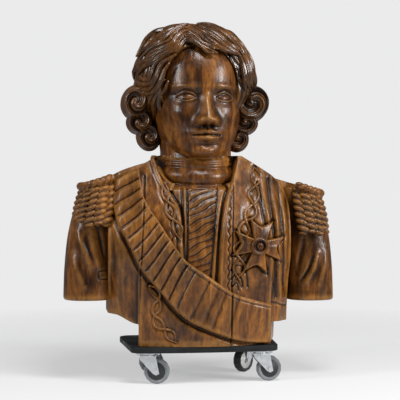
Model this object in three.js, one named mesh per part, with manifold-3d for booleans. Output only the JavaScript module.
// A ship's figurehead: the carved wooden bust of a naval officer in a laced dress coat, a good
// one and three quarter times life size, on the black board of its four-wheeled dolly.
// Millimetres, +Z up. The figure faces -Y and the floor is at Z 0. Left and right are the
// viewer's, looking at the face.
import * as THREE from "three";
import { mergeVertices } from "three/addons/utils/BufferGeometryUtils.js";
import Module from "manifold-3d";

const wasm = await Module();
wasm.setup();

const { lerp, clamp, smoothstep, degToRad } = THREE.MathUtils;
const RIGHT = 1;
const LEFT = -1;
const GAP = 0.3; // between pieces that touch

// Dolly
const BOARD_TOP = 116;
const BOARD_THICKNESS = 18;
const BOARD_FRONT_HALF = 230;
const BOARD_BACK_HALF = 248;
const BOARD_FRONT = -150;
const BOARD_BACK = 168;
const BOARD_CORNER = 34;
const BOARD_BOW = 12;
const WHEEL_RADIUS = 40;
const TYRE_WIDTH = 27;
const RIM_RADIUS = 28;
const WHEEL_SIDES = 14;
const TRAIL = 28;
const PIVOT_X = 176;
const PIVOT_Y = 98;
const PLATE_THICKNESS = 2.5;
const LEG_INSIDE = 16.5;
const LEG_THICKNESS = 2.5;
const AXLE_RADIUS = 4;

// Bust
const FOOT = BOARD_TOP + GAP;
const BASE_HALF_WIDTH = 206;
const COAT_HALF_WIDTH = 284;
const COAT_SHIFT = -12; // the coat above the foot lies this far to the left
const COAT_HEM = 184;
const HEM_RISE = 30; // at the outer end of the left side plank
const FOOT_FLARE = { [LEFT]: -0.1, [RIGHT]: 0.27 }; // how the foot's sides lean outward to the back
const BACK_FACE = 150;
const BACK_ROUNDING = 70;
const SLEEVE_END = { [LEFT]: 255, [RIGHT]: 247 };
const NECK_X = -15; // the neck and head stand a little left of the middle
const CHIN = 691;
const EYE_LEVEL = 880;
const HAIR_CENTRE = new THREE.Vector3(-18, 14, 952);
const HAIR_RADII = new THREE.Vector3(193, 192, 178);

// A smooth curve through rows of [position, value, value...]; column picks the value.
function through(rows, column = 1) {
  const slope = (i) => {
    const a = rows[Math.max(i - 1, 0)];
    const b = rows[Math.min(i + 1, rows.length - 1)];
    return (b[column] - a[column]) / (b[0] - a[0]);
  };
  return (position) => {
    const at = clamp(position, rows[0][0], rows[rows.length - 1][0]);
    let i = 0;
    while (i < rows.length - 2 && at > rows[i + 1][0]) i++;
    const span = rows[i + 1][0] - rows[i][0];
    const t = (at - rows[i][0]) / span;
    const t2 = t * t;
    const t3 = t2 * t;
    return (
      (2 * t3 - 3 * t2 + 1) * rows[i][column] +
      (t3 - 2 * t2 + t) * span * slope(i) +
      (3 * t2 - 2 * t3) * rows[i + 1][column] +
      (t3 - t2) * span * slope(i + 1)
    );
  };
}

const hill = (x, z, atX, atZ, wide, high) =>
  Math.exp(-(((x - atX) / wide) ** 2) - ((z - atZ) / high) ** 2);

// Turns a closed geometry into a solid, whichever way its faces were wound.
function solid(geometry) {
  const bare = geometry.index ? geometry.toNonIndexed() : geometry.clone();
  bare.deleteAttribute("normal");
  bare.deleteAttribute("uv");
  const merged = mergeVertices(bare, 1e-3);
  const corners = Array.from(merged.index.array);
  const vertProperties = merged.attributes.position.array;
  let twice = 0;
  const a = new THREE.Vector3();
  const b = new THREE.Vector3();
  const c = new THREE.Vector3();
  const faces = [];
  for (let i = 0; i < corners.length; i += 3) {
    const [p, q, r] = corners.slice(i, i + 3);
    if (p === q || q === r || r === p) continue;
    faces.push([p, q, r]);
    a.fromArray(vertProperties, 3 * p);
    b.fromArray(vertProperties, 3 * q);
    c.fromArray(vertProperties, 3 * r);
    twice += a.dot(b.cross(c));
  }
  const triVerts = new Uint32Array(faces.flatMap(([p, q, r]) => (twice < 0 ? [p, r, q] : [p, q, r])));
  return new wasm.Manifold(new wasm.Mesh({ numProp: 3, vertProperties, triVerts }));
}

function geometryOf(made) {
  const { vertProperties, triVerts } = made.getMesh();
  const geometry = new THREE.BufferGeometry();
  geometry.setAttribute("position", new THREE.BufferAttribute(vertProperties, 3));
  geometry.setIndex(new THREE.BufferAttribute(triVerts, 1));
  geometry.computeVertexNormals();
  return geometry;
}

// A closed skin: a ball's vertices, each moved to place(share round, share from end to end).
function skin(around, rows, place) {
  const ball = new THREE.SphereGeometry(1, around, rows);
  const at = ball.attributes.position;
  for (let i = 0; i < at.count; i++) {
    const column = i % (around + 1);
    const row = Math.floor(i / (around + 1));
    const p = place((column % around) / around, row / rows);
    at.setXYZ(i, p.x, p.y, p.z);
  }
  return ball;
}

// A round-ended cord or lock along path. section(angle, t) gives [across, outward] offsets,
// and outwardAt(point) the direction that its outer side faces.
function sweep(path, steps, sides, section, outwardAt) {
  return skin(sides, steps + 1, (turn, share) => {
    const t = clamp((share * (steps + 1) - 0.5) / steps, 0, 1);
    const centre = path.getPoint(t);
    if (share === 0 || share === 1) return centre;
    const along = path.getTangent(t);
    const across = new THREE.Vector3().crossVectors(along, outwardAt(centre)).normalize();
    const outward = new THREE.Vector3().crossVectors(across, along).normalize();
    const [side, out] = section(2 * Math.PI * turn, t);
    return centre.addScaledVector(across, side).addScaledVector(outward, out);
  });
}

function turned(profile, segments) {
  return new THREE.LatheGeometry(
    profile.map(([radius, along]) => new THREE.Vector2(radius, along)),
    segments,
  );
}

function moved(geometry, x, y, z) {
  return geometry.clone().translate(x, y, z);
}

// The coat

const chestCrown = through([
  [120, 150],
  [250, 162],
  [400, 182],
  [480, 186],
  [560, 170],
  [630, 138],
  [700, 104],
]);
const chestFlank = through([
  [120, 66],
  [300, 96],
  [424, 122],
  [520, 110],
  [600, 70],
  [704, 40],
]);
const coatHalfWidth = through([
  [180, COAT_HALF_WIDTH],
  [560, COAT_HALF_WIDTH],
  [600, 270],
  [640, 232],
  [670, 186],
  [704, 130],
]);
const coatBack = through([
  [120, BACK_FACE],
  [460, BACK_FACE],
  [540, BACK_FACE],
  [600, 144],
  [650, 126],
  [704, 96],
]);

// The front of the coat, as the Y of the surface. The middle is bowed, and the side planks of
// the block stand a step further back.
function coatFront(x, z) {
  const shift = z > COAT_HEM ? COAT_SHIFT * smoothstep(Math.abs(x), 150, 260) : 0;
  const off = Math.min(Math.abs(x - shift) / COAT_HALF_WIDTH, 1);
  const plank = Math.abs(x) > BASE_HALF_WIDTH ? 14 * (1 - smoothstep(z, 300, 390)) : 0;
  return plank + 20 * smoothstep(off, 0.88, 1) - lerp(chestCrown(z), chestFlank(z), off ** 2);
}

const MIDDLE_COLUMNS = [-1, -0.75, -0.5, -0.25, 0, 0.25, 0.5, 0.75, 1];

// One horizontal outline, its points in order from the front left corner. The coat's has side
// planks that the foot's doesn't.
function coatOutline(z, half, planked) {
  const middle = planked ? Math.min(BASE_HALF_WIDTH, half - 20) : half;
  const shift = planked ? COAT_SHIFT : 0;
  const columns = MIDDLE_COLUMNS.map((share) => share * middle);
  for (const share of planked ? [0.04, 0.5, 1] : []) {
    columns.push(lerp(middle, half + shift, share));
    columns.unshift(-lerp(middle, half - shift, share));
  }
  const outline = columns.map((x) => [x, coatFront(x, z)]);
  const back = coatBack(z);
  const round = Math.min(BACK_ROUNDING, half * 0.6, back * 0.6);
  const corner = [0, 30, 60, 90].map(degToRad);
  const rear = corner.map((a) => [half - round + round * Math.cos(a), back - round + round * Math.sin(a)]);
  const mirrored = [...rear].reverse().map(([x, y]) => [-x, y]);
  const lean = (x, y) => {
    const flare = planked ? 0 : FOOT_FLARE[x < 0 ? LEFT : RIGHT];
    return (flare * Math.abs(x) * (y + chestFlank(z))) / half;
  };
  const around = [...rear, ...mirrored].map(([x, y]) => [x + shift + Math.sign(x) * lean(x, y), y]);
  return [...outline, ...around];
}

function block(levels, half, planked, inset = () => 0) {
  const rings = levels.map((z) => {
    const ring = coatOutline(z, half(z), planked);
    const rise = z === COAT_HEM && planked ? HEM_RISE : 0;
    return ring.map(([x, y]) => {
      const up = rise * smoothstep(-x, BASE_HALF_WIDTH, COAT_HALF_WIDTH);
      return new THREE.Vector3(x, y + Math.sign(-y) * inset(z), z + up);
    });
  });
  return skin(rings[0].length, levels.length + 1, (turn, share) => {
    if (share === 0) return new THREE.Vector3(0, 0, levels[0]);
    if (share === 1) return new THREE.Vector3(0, 0, levels[levels.length - 1]);
    const level = Math.round(share * (levels.length + 1)) - 1;
    return rings[level][Math.round(turn * rings[0].length) % rings[0].length];
  });
}

// A layer of cloth on the coat's front. place(along, across) gives [x, z], rise its height.
function layer(columns, rows, place, rise, sink = 16) {
  const slab = new THREE.BoxGeometry(1, 1, 1, columns, 1, rows);
  const at = slab.attributes.position;
  for (let i = 0; i < at.count; i++) {
    const along = at.getX(i) + 0.5;
    const across = at.getZ(i) + 0.5;
    const [x, z] = place(along, across);
    const out = at.getY(i) < 0 ? rise(along, across) : -sink;
    at.setXYZ(i, x, coatFront(x, z) - out, z);
  }
  return slab;
}

// Edges of the cloth, as X at a height, or for the sash as points along it.
const shirtLeft = through([
  [391, -74],
  [536, -85],
  [581, -107],
  [627, -132],
  [696, -153],
]);
const shirtRight = through([
  [300, 33],
  [335, 34],
  [475, 41],
  [566, 57],
  [628, 81],
  [691, 99],
]);
const curveThrough = (rows) => new THREE.SplineCurve(rows.map(([x, z]) => new THREE.Vector2(x, z)));
const sashUpper = curveThrough([
  [-205, 666],
  [-188, 566],
  [-145, 493],
  [-73, 388],
  [-9, 342],
  [76, 284],
  [135, 262],
  [205, 243],
]);
const sashLower = curveThrough([
  [-292, 618],
  [-274, 508],
  [-225, 405],
  [-203, 359],
  [-143, 286],
  [-71, 207],
  [9, 166],
  [105, 132],
  [205, 119],
]);
const SASH_RIBS = 9;
const SASH_RIBBED = 18 / 30;

function sash() {
  const place = (along, across) => {
    const low = sashLower.getPoint(along);
    const high = sashUpper.getPoint(along);
    return [lerp(low.x, high.x, across), Math.max(lerp(low.y, high.y, across), FOOT)];
  };
  const rise = (along) => {
    const rib = Math.abs(Math.sin((Math.PI * SASH_RIBS * along) / SASH_RIBBED));
    return along < SASH_RIBBED ? 8 + 9 * rib : 15;
  };
  return layer(30, 2, place, rise, 24);
}

function shirtOpening() {
  const place = (along, across) => {
    const z = lerp(262, 704, across);
    return [lerp(shirtLeft(z), shirtRight(z), along), z];
  };
  return layer(5, 6, place, () => 60, 13);
}

function waistcoatBand() {
  const place = (along, across) => {
    const z = lerp(262, 606, across);
    return [lerp(18, 51, across) + lerp(19, 28, across) * (along - 0.5), z];
  };
  return layer(1, 4, place, () => 2, 20);
}

const PLEATS = 4;

function shirtPleat(index) {
  const place = (along, across) => {
    const x = lerp(-64, 2, along);
    const z = lerp(380, 560, index / (PLEATS - 1)) + 34 * (along - 0.5) + 22 * across;
    return [x, z];
  };
  return layer(1, 2, place, (along, across) => -9 + 7 * Math.sin(Math.PI * across), 22);
}

function lapel(side) {
  const edge = side === LEFT ? shirtLeft : shirtRight;
  const place = (along, across) => {
    const z = lerp(side === LEFT ? 396 : 300, 684, across);
    return [edge(z) + side * lerp(0, side === LEFT ? 62 : 34, along), z];
  };
  return layer(1, 5, place, (along) => 5 + 3 * (1 - along));
}

function flankFold(side, index) {
  const place = (along, across) => {
    const z = lerp(250, 634, across);
    return [side * (200 + 26 * index + 16 * (along - 0.5) - 26 * smoothstep(z, 520, 660)), z];
  };
  const rise = (along, across) => 10 * Math.sin(Math.PI * along) * Math.sin(Math.PI * across) ** 0.4;
  return layer(2, 3, place, rise);
}

const STAR_X = 159;
const STAR_Z = 425;
const STAR_TURN = degToRad(-7);

// A cross of four swallow-tailed arms round a domed boss.
function star() {
  const outline = new THREE.Shape();
  for (let corner = 0; corner < 16; corner++) {
    const radius = [22, 76, 54, 76][corner % 4];
    const spread = [-45, -23, 0, 23][corner % 4];
    const angle = STAR_TURN + degToRad(90 * Math.floor(corner / 4) + spread);
    const [x, z] = [radius * Math.cos(angle), radius * Math.sin(angle)];
    if (corner === 0) outline.moveTo(x, z);
    else outline.lineTo(x, z);
  }
  const cross = new THREE.ExtrudeGeometry(outline, { depth: 46, bevelEnabled: false });
  const boss = turned(
    [
      [0, 0],
      [27, 0],
      [27, 52],
      [21, 56],
      [15, 51],
      [10, 57],
      [0, 58],
    ],
    12,
  );
  boss.rotateX(Math.PI / 2);
  // The badge lies on the slope of the chest, tilted to it.
  const slope = Math.atan2(coatFront(STAR_X + 28, STAR_Z) - coatFront(STAR_X - 60, STAR_Z), 88);
  const lay = (geometry) =>
    geometry.rotateX(Math.PI / 2).rotateZ(slope).translate(STAR_X, coatFront(STAR_X, STAR_Z) + 30, STAR_Z);
  return [lay(cross), lay(boss)];
}

// Sleeves, cut off square above the elbow

const sleeveShape = [
  [250, 356, 78],
  [360, 354, 76],
  [470, 344, 73],
  [560, 324, 66],
  [612, 302, 50],
];
const sleeveCentre = through(sleeveShape, 1);
const sleeveHalf = through(sleeveShape, 2);

function sleeve(side) {
  const rows = 4;
  return skin(12, rows + 2, (turn, share) => {
    const z = lerp(SLEEVE_END[side], 600, clamp((share * (rows + 2) - 1) / rows, 0, 1));
    const centre = side * sleeveCentre(z);
    if (share === 0 || share === 1) return new THREE.Vector3(centre, 14, z);
    const angle = 2 * Math.PI * turn;
    const half = sleeveHalf(z);
    const deep = half * 1.22;
    const [c, s] = [Math.cos(angle), Math.sin(angle)];
    return new THREE.Vector3(
      centre + half * Math.sign(c) * Math.abs(c) ** 0.8,
      14 + deep * Math.sign(s) * Math.abs(s) ** 0.8,
      z,
    );
  });
}

// Epaulettes: a strap, a crescent with a corded rim, and a fringe of twisted cords

const CRESCENT = { x: 322, y: 4, halfX: 62, halfY: 98, thickness: 46 };
const CORDS = 11;
const CORD_ROWS = 6;
const shoulder = {
  [LEFT]: {
    slope: through([
      [150, 690],
      [186, 682],
      [253, 660],
      [300, 636],
      [368, 614],
    ]),
    fringe: 470,
    shift: 2,
  },
  [RIGHT]: {
    slope: through([
      [150, 664],
      [182, 650],
      [262, 626],
      [342, 600],
      [390, 590],
    ]),
    fringe: 442,
    shift: 10,
  },
};

const shoulderTop = (side, x) => shoulder[side].slope(Math.abs(x));

function epaulettePlate(side) {
  const outline = new THREE.Shape();
  outline.moveTo(160, -34);
  outline.lineTo(240, -36);
  outline.lineTo(CRESCENT.x - 40, -46);
  for (let step = 0; step <= 8; step++) {
    const angle = degToRad(lerp(-116, 116, step / 8));
    outline.lineTo(CRESCENT.x + CRESCENT.halfX * Math.cos(angle), CRESCENT.halfY * Math.sin(angle));
  }
  outline.lineTo(CRESCENT.x - 40, 46);
  outline.lineTo(240, 36);
  outline.lineTo(160, 34);
  const plate = new THREE.ExtrudeGeometry(outline, { depth: CRESCENT.thickness, bevelEnabled: false });
  const at = plate.attributes.position;
  for (let i = 0; i < at.count; i++) {
    const x = side * at.getX(i);
    const z = shoulderTop(side, x) + at.getZ(i) - CRESCENT.thickness;
    at.setXYZ(i, x + shoulder[side].shift, CRESCENT.y + at.getY(i), z);
  }
  return plate;
}

// The fringe is one hanging drum, its wall ridged into cords that bead out as they twist.
function fringe(side) {
  const columns = 2 * CORDS + 3;
  const { shift, fringe: bottom } = shoulder[side];
  return skin(columns, CORD_ROWS + 2, (turn, share) => {
    const down = 1 - clamp((share * (CORD_ROWS + 2) - 1) / CORD_ROWS, 0, 1);
    const column = Math.round(turn * columns);
    const corded = column <= 2 * CORDS;
    const angle = corded
      ? degToRad(lerp(-126, 126, column / (2 * CORDS)))
      : degToRad(lerp(126, 234, (column - 2 * CORDS) / 3));
    const crest = corded && column % 2 === 1;
    const bead = crest ? 3 * Math.sin(Math.PI * (down * CORD_ROWS + (column % 4 === 1 ? 0.5 : 0))) : 0;
    const grow = -14 + 20 * Math.sin((Math.PI / 2) * clamp(0.15 + 1.1 * down, 0, 1)) + 6 * down + (crest ? 13 : 0);
    const x = side * (CRESCENT.x + (CRESCENT.halfX + grow + bead) * Math.cos(angle)) + shift;
    const y = CRESCENT.y + (CRESCENT.halfY + grow + bead) * Math.sin(angle);
    const top = (across) => shoulderTop(side, CRESCENT.x + CRESCENT.halfX * across) - 14;
    const centre = new THREE.Vector3(side * CRESCENT.x + shift, CRESCENT.y, down === 1 ? bottom : top(0));
    if (share === 0 || share === 1) return centre;
    return new THREE.Vector3(x, y, lerp(top(Math.cos(angle)), bottom, down));
  });
}

function epauletteRim(side) {
  const points = [];
  for (let step = 0; step <= 8; step++) {
    const angle = degToRad(lerp(-120, 120, step / 8));
    const x = side * (CRESCENT.x + (CRESCENT.halfX - 2) * Math.cos(angle));
    const y = CRESCENT.y + (CRESCENT.halfY - 2) * Math.sin(angle);
    points.push(new THREE.Vector3(x + shoulder[side].shift, y, shoulderTop(side, x) - 4));
  }
  const section = (turn) => [13 * Math.cos(turn), 13 * Math.sin(turn)];
  return sweep(new THREE.CatmullRomCurve3(points), 12, 5, section, () => new THREE.Vector3(0, 0, 1));
}

// Neck, stock and collar

// The folded neckcloth round the neck, a little lower in front.
function stock() {
  const folds = [
    [0, 112],
    [0.18, 124],
    [0.36, 116],
    [0.6, 125],
    [0.8, 118],
    [1.05, 100],
  ];
  return skin(16, folds.length + 1, (turn, share) => {
    const fold = clamp(Math.round(share * (folds.length + 1)) - 1, 0, folds.length - 1);
    const [up, radius] = folds[fold];
    const angle = 2 * Math.PI * turn;
    const front = (1 - Math.sin(angle)) / 2;
    const z = lerp(lerp(640, 592, front), lerp(716, 690, front), up);
    if (share === 0) return new THREE.Vector3(NECK_X, -26, 610);
    if (share === 1) return new THREE.Vector3(NECK_X, -26, 730);
    return new THREE.Vector3(NECK_X + radius * Math.cos(angle), -26 + radius * Math.sin(angle), z);
  });
}

// The standing collar, open in front.
function collar() {
  const band = new THREE.BoxGeometry(1, 1, 1, 11, 1, 1);
  const at = band.attributes.position;
  for (let i = 0; i < at.count; i++) {
    const angle = degToRad(lerp(-42, 222, at.getX(i) + 0.5));
    const up = at.getZ(i) + 0.5;
    const radius = lerp(164, 140, up) + (at.getY(i) < 0 ? 0 : -13);
    const front = (1 - Math.sin(angle)) / 2;
    const z = lerp(600, lerp(722, 696, front), up);
    at.setXYZ(i, NECK_X + radius * Math.cos(angle), -16 + radius * 0.98 * Math.sin(angle), z);
  }
  return band;
}

// Head

const headShape = [
  [CHIN, 40, -142, -30],
  [704, 66, -158, 10],
  [724, 92, -166, 50],
  [752, 113, -168, 90],
  [790, 129, -170, 122],
  [830, 137, -171, 152],
  [880, 140, -170, 172],
  [940, 142, -176, 178],
  [1000, 137, -164, 165],
  [1050, 120, -134, 138],
  [1090, 84, -84, 92],
];
const headHalf = through(headShape, 1);
const headFront = through(headShape, 2);
const headBack = through(headShape, 3);
const noseRidge = through([
  [-92, 0],
  [-84, 26],
  [-70, 50],
  [-56, 42],
  [-20, 18],
  [14, 3],
  [40, 0],
]);

// How far the features stand forward of the plain oval of the head.
function features(x, z) {
  const side = Math.abs(x);
  const level = z - EYE_LEVEL;
  const nose = noseRidge(level) * Math.exp(-((side / lerp(26, 15, smoothstep(level, -75, 0))) ** 2));
  const wings = 15 * hill(side, level, 25, -74, 13, 13);
  const brow = 10 * hill(side, level, 62, 30, 52, 13);
  const socket = -21 * hill(side, level, 58, 3, 36, 21);
  const eye = 19 * hill(side, level, 60, 0, 25, 15);
  const cheek = 9 * hill(side, level, 88, -40, 40, 32);
  const muzzle = 13 * hill(side, level, 0, -118, 58, 38);
  const lips = 8 * hill(side, level, 0, -107, 38, 8) + 10 * hill(side, level, 0, -127, 32, 9);
  const mouthLine = -8 * hill(side, level, 0, -117, 44, 4.5);
  const belowLips = -7 * hill(side, level, 0, -146, 34, 10);
  const chin = 14 * hill(side, level, 0, -170, 36, 20);
  return nose + wings + brow + socket + eye + cheek + muzzle + lips + mouthLine + belowLips + chin;
}

const HEAD_TURN = degToRad(4);
// Levels of the head from the chin up, closer together on the features.
const HEAD_LEVELS = [
  0, 12, 30, 46, 60, 72, 84, 98, 112, 126, 146, 170, 186, 200, 218, 240, 280, 330, 390,
];

function head() {
  const rows = HEAD_LEVELS.length;
  const shape = skin(24, rows + 1, (turn, share) => {
    if (share === 0) return new THREE.Vector3(0, -92, CHIN - 1);
    if (share === 1) return new THREE.Vector3(0, 0, CHIN + 400);
    const z = CHIN + HEAD_LEVELS[Math.round(share * (rows + 1)) - 1];
    const [front, back] = [headFront(z), headBack(z)];
    const middle = (front + back) / 2 + 14;
    // Most of the columns are on the face.
    const angle = turn < 0.8 ? lerp(-Math.PI, 0, turn / 0.8) : lerp(0, Math.PI, (turn - 0.8) / 0.2);
    const [c, s] = [Math.cos(angle), Math.sin(angle)];
    const x = headHalf(z) * Math.sign(c) * Math.abs(c) ** 0.92;
    const reach = s < 0 ? middle - front : back - middle;
    const y = middle + reach * Math.sign(s) * Math.abs(s) ** 0.86;
    const facing = smoothstep(-s, 0.12, 0.62);
    return new THREE.Vector3(x, y - facing * features(x, z), z);
  });
  return shape.rotateZ(HEAD_TURN).translate(NECK_X, 0, 0);
}

// Hair: locks combed from the parting over the skull to the nape, and rolled curls

const LOCKS = 12;
const HAIR_POLE = new THREE.Vector3(0.06, -0.5, 0.86).normalize();
const HAIR_ACROSS = new THREE.Vector3(1, 0, 0).cross(HAIR_POLE).normalize();
const HAIR_SIDE = new THREE.Vector3().crossVectors(HAIR_ACROSS, HAIR_POLE).normalize();

function hair() {
  const columns = 3 * LOCKS;
  return skin(columns, 9, (turn, share) => {
    const away = Math.PI * share;
    const wave = 0.16 * Math.sin(3.1 * away + 0.6) * Math.sin(away);
    const angle = 2 * Math.PI * turn + wave;
    const direction = HAIR_POLE.clone()
      .multiplyScalar(Math.cos(away))
      .addScaledVector(HAIR_ACROSS, Math.sin(away) * Math.cos(angle))
      .addScaledVector(HAIR_SIDE, Math.sin(away) * Math.sin(angle));
    const column = Math.round(turn * columns) % 3;
    const ridge = [-9, 7, 9][column] * Math.sin(away) ** 0.5;
    const point = direction.clone().multiply(HAIR_RADII);
    point.setLength(point.length() + ridge);
    return point.add(HAIR_CENTRE);
  });
}

// The room that the hair leaves for the face and the brow.
function faceOpening() {
  return new THREE.SphereGeometry(1, 16, 8).scale(134, 150, 160).translate(NECK_X, -190, 890);
}

// A roll of hair with a dimpled end: centre, radii across and upright, and half its length.
function rolledCurl(x, y, z, radiusX, radiusZ, halfLength) {
  const roll = turned(
    [
      [0, -0.78],
      [0.45, -0.9],
      [0.66, -1],
      [1, -0.5],
      [1, 0.5],
      [0, 1],
    ],
    8,
  );
  return roll.scale(radiusX, halfLength, radiusZ).translate(x, y, z);
}

const CURLS = [
  [160, -24, 868, 58, 63, 60],
  [122, 14, 764, 38, 44, 50],
  [-210, -16, 872, 50, 46, 60],
  [-192, -2, 806, 38, 38, 54],
  [-160, 14, 764, 38, 40, 50],
];

// The bust is carved from one block.
function bustGeometry() {
  const levels = [184, 250, 320, 390, 460, 530, 580, 620, 660, 704];
  const coat = solid(block(levels, coatHalfWidth, true));
  const inset = (z) => (z > COAT_HEM ? 8 : 0);
  const base = solid(block([FOOT, 152, COAT_HEM, COAT_HEM + 1, 210], () => BASE_HALF_WIDTH, false, inset));
  const pieces = [sash(), waistcoatBand(), stock(), collar(), head(), ...star()];
  for (const side of [LEFT, RIGHT]) {
    pieces.push(lapel(side), sleeve(side), epaulettePlate(side), fringe(side), epauletteRim(side));
    for (let i = side === RIGHT ? 1 : 2; i < 3; i++) pieces.push(flankFold(side, i));
  }
  for (let i = 0; i < PLEATS; i++) pieces.push(shirtPleat(i));
  for (const curl of CURLS) pieces.push(rolledCurl(...curl));
  let bust = coat.add(base).subtract(solid(shirtOpening()));
  bust = bust.add(solid(hair()).subtract(solid(faceOpening())));
  for (const piece of pieces) bust = bust.add(solid(piece));
  return geometryOf(bust);
}

// The dolly's board: bowed in front, wider behind, with round corners.
function boardGeometry() {
  const outline = new THREE.Shape();
  const corner = (x, y, from) => outline.absarc(x, y, BOARD_CORNER, degToRad(from), degToRad(from + 90), false);
  corner(BOARD_BACK_HALF - BOARD_CORNER, BOARD_BACK - BOARD_CORNER, 0);
  corner(-BOARD_BACK_HALF + BOARD_CORNER, BOARD_BACK - BOARD_CORNER, 90);
  corner(-BOARD_FRONT_HALF + BOARD_CORNER, BOARD_FRONT + BOARD_BOW + BOARD_CORNER, 180);
  outline.quadraticCurveTo(0, BOARD_FRONT - 2 * BOARD_BOW, BOARD_FRONT_HALF - BOARD_CORNER, BOARD_FRONT + BOARD_BOW);
  corner(BOARD_FRONT_HALF - BOARD_CORNER, BOARD_FRONT + BOARD_BOW + BOARD_CORNER, 270);
  const board = new THREE.ExtrudeGeometry(outline, {
    depth: BOARD_THICKNESS,
    bevelEnabled: false,
    curveSegments: 4,
  });
  return board.translate(0, 0, BOARD_TOP - BOARD_THICKNESS);
}

// Casters, each in its own frame: the swivel pin at X 0 and Y 0, the wheel trailing along +X

const PLATE_TOP = BOARD_TOP - BOARD_THICKNESS - GAP;
const RACE_TOP = PLATE_TOP - PLATE_THICKNESS;
const CROWN_TOP = 89;
const CROWN_THICKNESS = 6;

function cylinder(radius, height, sides) {
  return new THREE.CylinderGeometry(radius, radius, height, sides).rotateX(Math.PI / 2);
}

function plateGeometry() {
  const [halfX, halfY, cut] = [38, 30, 5];
  const outline = new THREE.Shape();
  outline.moveTo(-halfX + cut, -halfY);
  for (const [x, y] of [
    [halfX - cut, -halfY],
    [halfX, -halfY + cut],
    [halfX, halfY - cut],
    [halfX - cut, halfY],
    [-halfX + cut, halfY],
    [-halfX, halfY - cut],
    [-halfX, -halfY + cut],
  ]) {
    outline.lineTo(x, y);
  }
  const plate = new THREE.ExtrudeGeometry(outline, { depth: PLATE_THICKNESS, bevelEnabled: false });
  plate.translate(0, 0, RACE_TOP);
  const race = moved(cylinder(23, RACE_TOP + 1 - CROWN_TOP - GAP, 8), 0, 0, (RACE_TOP + 1 + CROWN_TOP + GAP) / 2);
  return geometryOf(solid(plate).add(solid(race)));
}

function screwGeometry() {
  const hexagon = new THREE.Shape();
  hexagon.absarc(0, 0, 5.5, 0, 2 * Math.PI, false);
  const screw = new THREE.ExtrudeGeometry(hexagon, { depth: 4, bevelEnabled: false, curveSegments: 3 });
  return screw.translate(0, 0, -4);
}

function forkGeometry() {
  const leg = new THREE.Shape();
  leg.moveTo(-23, CROWN_TOP - 1);
  leg.lineTo(-23, CROWN_TOP - 12);
  for (const angle of [215, 270, 325]) {
    leg.lineTo(TRAIL + 12 * Math.cos(degToRad(angle)), WHEEL_RADIUS + 12 * Math.sin(degToRad(angle)));
  }
  leg.lineTo(27, CROWN_TOP - 1);
  const hole = new THREE.Path();
  hole.absarc(TRAIL, WHEEL_RADIUS, AXLE_RADIUS + 1, 0, 2 * Math.PI, true);
  leg.holes.push(hole);
  const side = new THREE.ExtrudeGeometry(leg, {
    depth: LEG_THICKNESS,
    bevelEnabled: false,
    curveSegments: 3,
  }).rotateX(Math.PI / 2);
  const crown = cylinder(27, CROWN_THICKNESS, 8).translate(0, 0, CROWN_TOP - CROWN_THICKNESS / 2);
  const bridge = new THREE.BoxGeometry(48, 2 * LEG_INSIDE + 2, 5).translate(1, 0, CROWN_TOP - 3.5);
  const parts = [bridge, moved(side, 0, LEG_INSIDE + LEG_THICKNESS, 0), moved(side, 0, -LEG_INSIDE, 0)];
  return geometryOf(parts.map(solid).reduce((made, piece) => made.add(piece), solid(crown)));
}

function axleGeometry() {
  const reach = LEG_INSIDE + LEG_THICKNESS + GAP;
  const shank = new THREE.CylinderGeometry(AXLE_RADIUS, AXLE_RADIUS, 2 * reach + 2, 6);
  const nut = new THREE.CylinderGeometry(7, 7, 4, 6);
  const heads = [moved(nut, 0, reach + 2, 0), moved(nut, 0, -reach - 2, 0)];
  return geometryOf(heads.map(solid).reduce((made, piece) => made.add(piece), solid(shank)));
}

function tyreGeometry() {
  const half = TYRE_WIDTH / 2;
  return turned(
    [
      [RIM_RADIUS + GAP, -half + 2],
      [WHEEL_RADIUS - 4, -half],
      [WHEEL_RADIUS, -half / 3],
      [WHEEL_RADIUS, half / 3],
      [WHEEL_RADIUS - 4, half],
      [RIM_RADIUS + GAP, half - 2],
      [RIM_RADIUS + GAP, -half + 2],
    ],
    WHEEL_SIDES,
  );
}

function wheelCentreGeometry() {
  const half = TYRE_WIDTH / 2 - 2.5;
  const bore = AXLE_RADIUS + GAP;
  const boss = LEG_INSIDE - 1;
  return turned(
    [
      [bore, -boss],
      [10, -boss],
      [RIM_RADIUS, -half],
      [RIM_RADIUS, half],
      [10, boss],
      [bore, boss],
      [bore, -boss],
    ],
    WHEEL_SIDES,
  );
}

// Finishes

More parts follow.
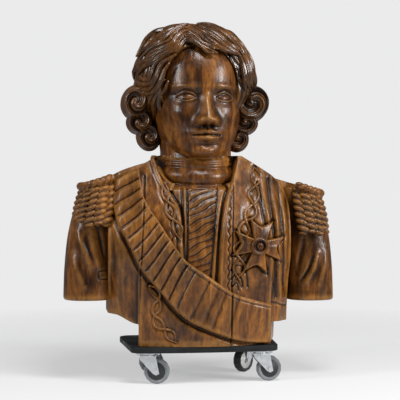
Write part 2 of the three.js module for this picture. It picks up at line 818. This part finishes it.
const finish = (color, roughness, metalness) => new THREE.MeshStandardMaterial({ color, roughness, metalness });
const CARVED_WOOD = finish(0x6b4020, 0.42, 0);
const BLACK_PAINT = finish(0x1b1c1e, 0.5, 0);
const ZINC = finish(0xc4c8cc, 0.35, 0.9);
const GREY_RUBBER = finish(0x75787a, 0.8, 0);
const BLACK_RUBBER = finish(0x191919, 0.85, 0);
const BLACK_PLASTIC = finish(0x1d1e20, 0.5, 0);
const STEEL_RIM = finish(0xa8aaa8, 0.4, 0.8);

function named(name, geometry, material) {
  const mesh = new THREE.Mesh(geometry, material);
  mesh.name = name;
  return mesh;
}

const CASTERS = [
  { name: "front_left", x: -PIVOT_X, y: -PIVOT_Y, turn: -14, tyre: GREY_RUBBER, centre: BLACK_PLASTIC },
  { name: "front_right", x: PIVOT_X, y: -PIVOT_Y, turn: 4, tyre: GREY_RUBBER, centre: BLACK_PLASTIC },
  { name: "back_left", x: -PIVOT_X, y: PIVOT_Y, turn: -8, tyre: GREY_RUBBER, centre: BLACK_PLASTIC },
  { name: "back_right", x: PIVOT_X, y: PIVOT_Y, turn: 222, tyre: BLACK_RUBBER, centre: STEEL_RIM },
];

function caster({ name, x, y, turn, tyre, centre }) {
  const fixed = new THREE.Group();
  fixed.position.set(x, y, 0);
  fixed.add(named(`${name}_caster_plate`, plateGeometry(), ZINC));
  let count = 0;
  for (const [sx, sy] of [
    [-1, -1],
    [1, -1],
    [1, 1],
    [-1, 1],
  ]) {
    count += 1;
    const screw = named(`${name}_caster_screw_${count}`, screwGeometry(), ZINC);
    screw.position.set(sx * 30, sy * 22, RACE_TOP - GAP);
    fixed.add(screw);
  }
  const swivel = new THREE.Group();
  swivel.rotation.z = degToRad(turn);
  swivel.add(named(`${name}_caster_fork`, forkGeometry(), ZINC));
  const wheel = new THREE.Group();
  wheel.position.set(TRAIL, 0, WHEEL_RADIUS);
  wheel.add(named(`${name}_caster_axle`, axleGeometry(), ZINC));
  wheel.add(named(`${name}_wheel_tyre`, tyreGeometry(), tyre));
  wheel.add(named(`${name}_wheel_centre`, wheelCentreGeometry(), centre));
  swivel.add(wheel);
  fixed.add(swivel);
  return fixed;
}

const figurehead = new THREE.Group();
figurehead.add(named("carved_bust", bustGeometry(), CARVED_WOOD));
figurehead.add(named("dolly_board", boardGeometry(), BLACK_PAINT));
for (const one of CASTERS) figurehead.add(caster(one));

export default figurehead;
